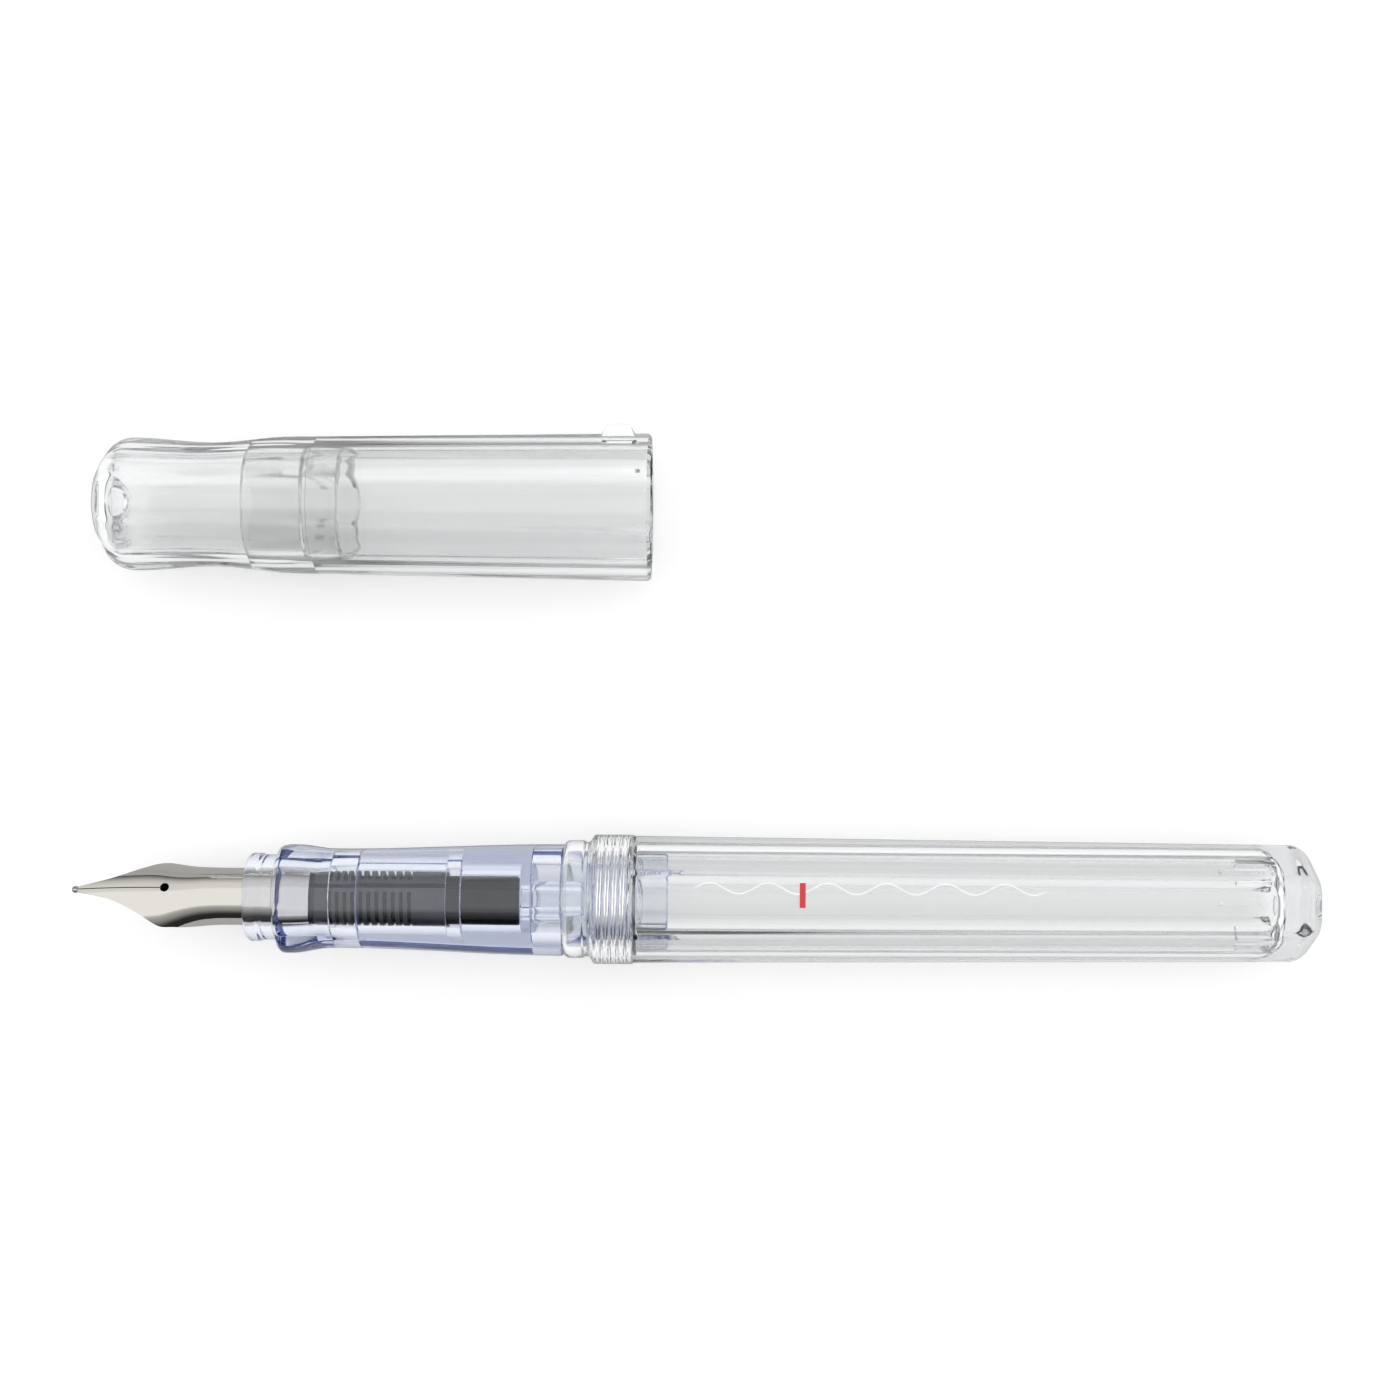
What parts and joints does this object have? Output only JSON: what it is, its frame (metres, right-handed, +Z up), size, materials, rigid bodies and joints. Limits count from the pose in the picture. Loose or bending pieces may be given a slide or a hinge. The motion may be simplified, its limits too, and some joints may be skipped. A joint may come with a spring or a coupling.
{
  "type": "fountain pen",
  "caption": "Clear hexagonal fountain pen with three-sided grip, steel nib and a matching cap with a roll stop lying beside it.",
  "frame": {"origin": "on the surface that the pen and its cap lie on, under the middle of the whole object", "axes": "+X from the nib to the tail, +Y from the pen to its cap, +Z up"},
  "size_m": [0.127, 0.0552, 0.0136],
  "materials": {
    "clear_barrel": "clear moulded, polished",
    "clear_cap": "clear moulded, polished",
    "inner_cap": "clear moulded, slightly milky",
    "grip": "clear moulded with a faint blue tint",
    "feed": "dark grey moulded",
    "nib": "polished stainless",
    "tipping": "ground and polished hard alloy"
  },
  "bodies": {
    "grip": {"grip_section": "grip"},
    "feed": {"feed": "feed"},
    "nib": {"nib": "nib", "nib_tipping": "tipping"},
    "end_plug": {"barrel_end_plug": "clear_barrel"},
    "barrel": {"barrel": "clear_barrel"},
    "cap": {"cap_shell": "clear_cap", "inner_cap": "inner_cap", "crown_plug": "clear_cap"}
  },
  "joints": [
    {"name": "feed_pull", "type": "slide", "parent": "grip", "child": "feed", "axis": [-1, 0, 0], "range_m": [0, 0.03]},
    {"name": "nib_pull", "type": "slide", "parent": "feed", "child": "nib", "axis": [-1, 0, 0], "range_m": [0, 0.01]},
    {"name": "barrel_advance", "type": "slide", "parent": "grip", "child": "end_plug", "axis": [1, 0, 0], "range_m": [0, 0.0047]},
    {"name": "barrel_turn", "type": "hinge", "parent": "end_plug", "child": "barrel", "pos_m": [0.06157, -0.02102, 0.0066], "axis": [1, 0, 0], "range_deg": [0, 2190]},
    {"name": "cap_lift_away", "type": "slide", "parent": "grip", "child": "cap", "axis": [-0.8935, -0.449, -0.0022], "range_m": [0, 0.08953]}
  ],
  "couplings": [
    {"joint": "barrel_advance", "follows": "barrel_turn", "m_per_rad": 0.00012016}
  ]
}
